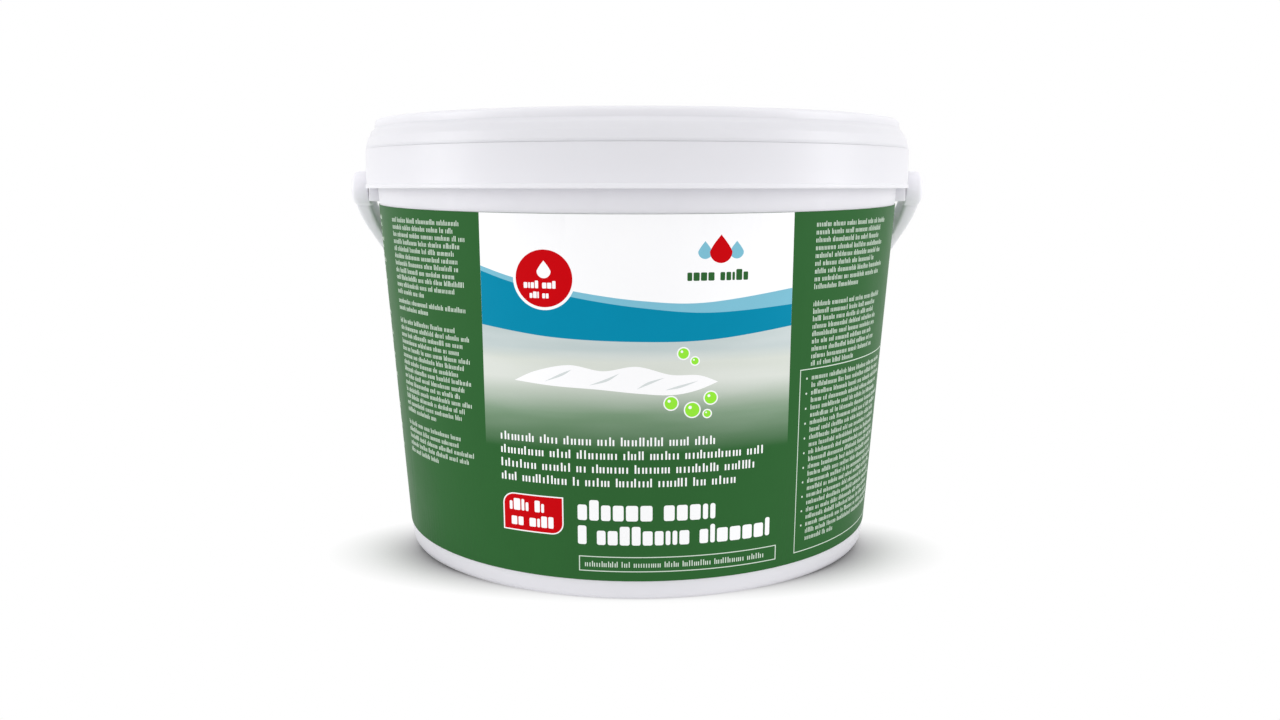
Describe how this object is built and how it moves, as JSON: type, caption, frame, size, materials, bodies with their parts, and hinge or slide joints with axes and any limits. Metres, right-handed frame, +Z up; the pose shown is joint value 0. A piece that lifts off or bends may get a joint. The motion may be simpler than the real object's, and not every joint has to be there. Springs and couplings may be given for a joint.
{
  "type": "wipes canister",
  "caption": "Round pail-shaped wipes canister with press-on lid, flip-top dispenser, swinging bail handle, wrap label and centre-pull roll of wipes inside.",
  "frame": {"origin": "centre of the pail's foot ring, on the surface that the pail stands on", "axes": "+Z up along the pail's axis, -Y towards the front panel of the label, the bail hangs at the back, +Y, and pivots about X"},
  "size_m": [0.2468, 0.2343, 0.1784],
  "materials": {
    "white_plastic": "satin moulded",
    "wipe_cloth": "soft non-woven",
    "green_print": "satin film",
    "white_print": "satin film",
    "dark_blue_print": "satin film",
    "light_blue_print": "satin film",
    "pale_print": "satin film",
    "red_print": "satin film"
  },
  "bodies": {
    "pail_body": {"pail": "white_plastic", "wipes_roll": "wipe_cloth", "label_film": "green_print", "label_panel": "white_print", "print_band_light": "light_blue_print", "print_band_dark": "dark_blue_print", "print_picture_field": "pale_print", "print_badge": "red_print", "print_tag": "red_print"},
    "lid_body": {"lid": "white_plastic", "dispenser_insert": "white_plastic"},
    "cap_body": {"dispenser_cap": "white_plastic"},
    "bail_body": {"bail": "white_plastic"}
  },
  "joints": [
    {"name": "lid_lift", "type": "slide", "parent": "pail_body", "child": "lid_body", "axis": [0, 0, 1], "range_m": [0, 0.06]},
    {"name": "cap_hinge", "type": "hinge", "parent": "lid_body", "child": "cap_body", "pos_m": [0, 0.03, 0.1675], "axis": [-1, 0, 0], "range_deg": [0, 120]},
    {"name": "bail_swing", "type": "hinge", "parent": "pail_body", "child": "bail_body", "pos_m": [0, 0, 0.1507], "axis": [1, 0, 0], "range_deg": [0, 264]}
  ]
}
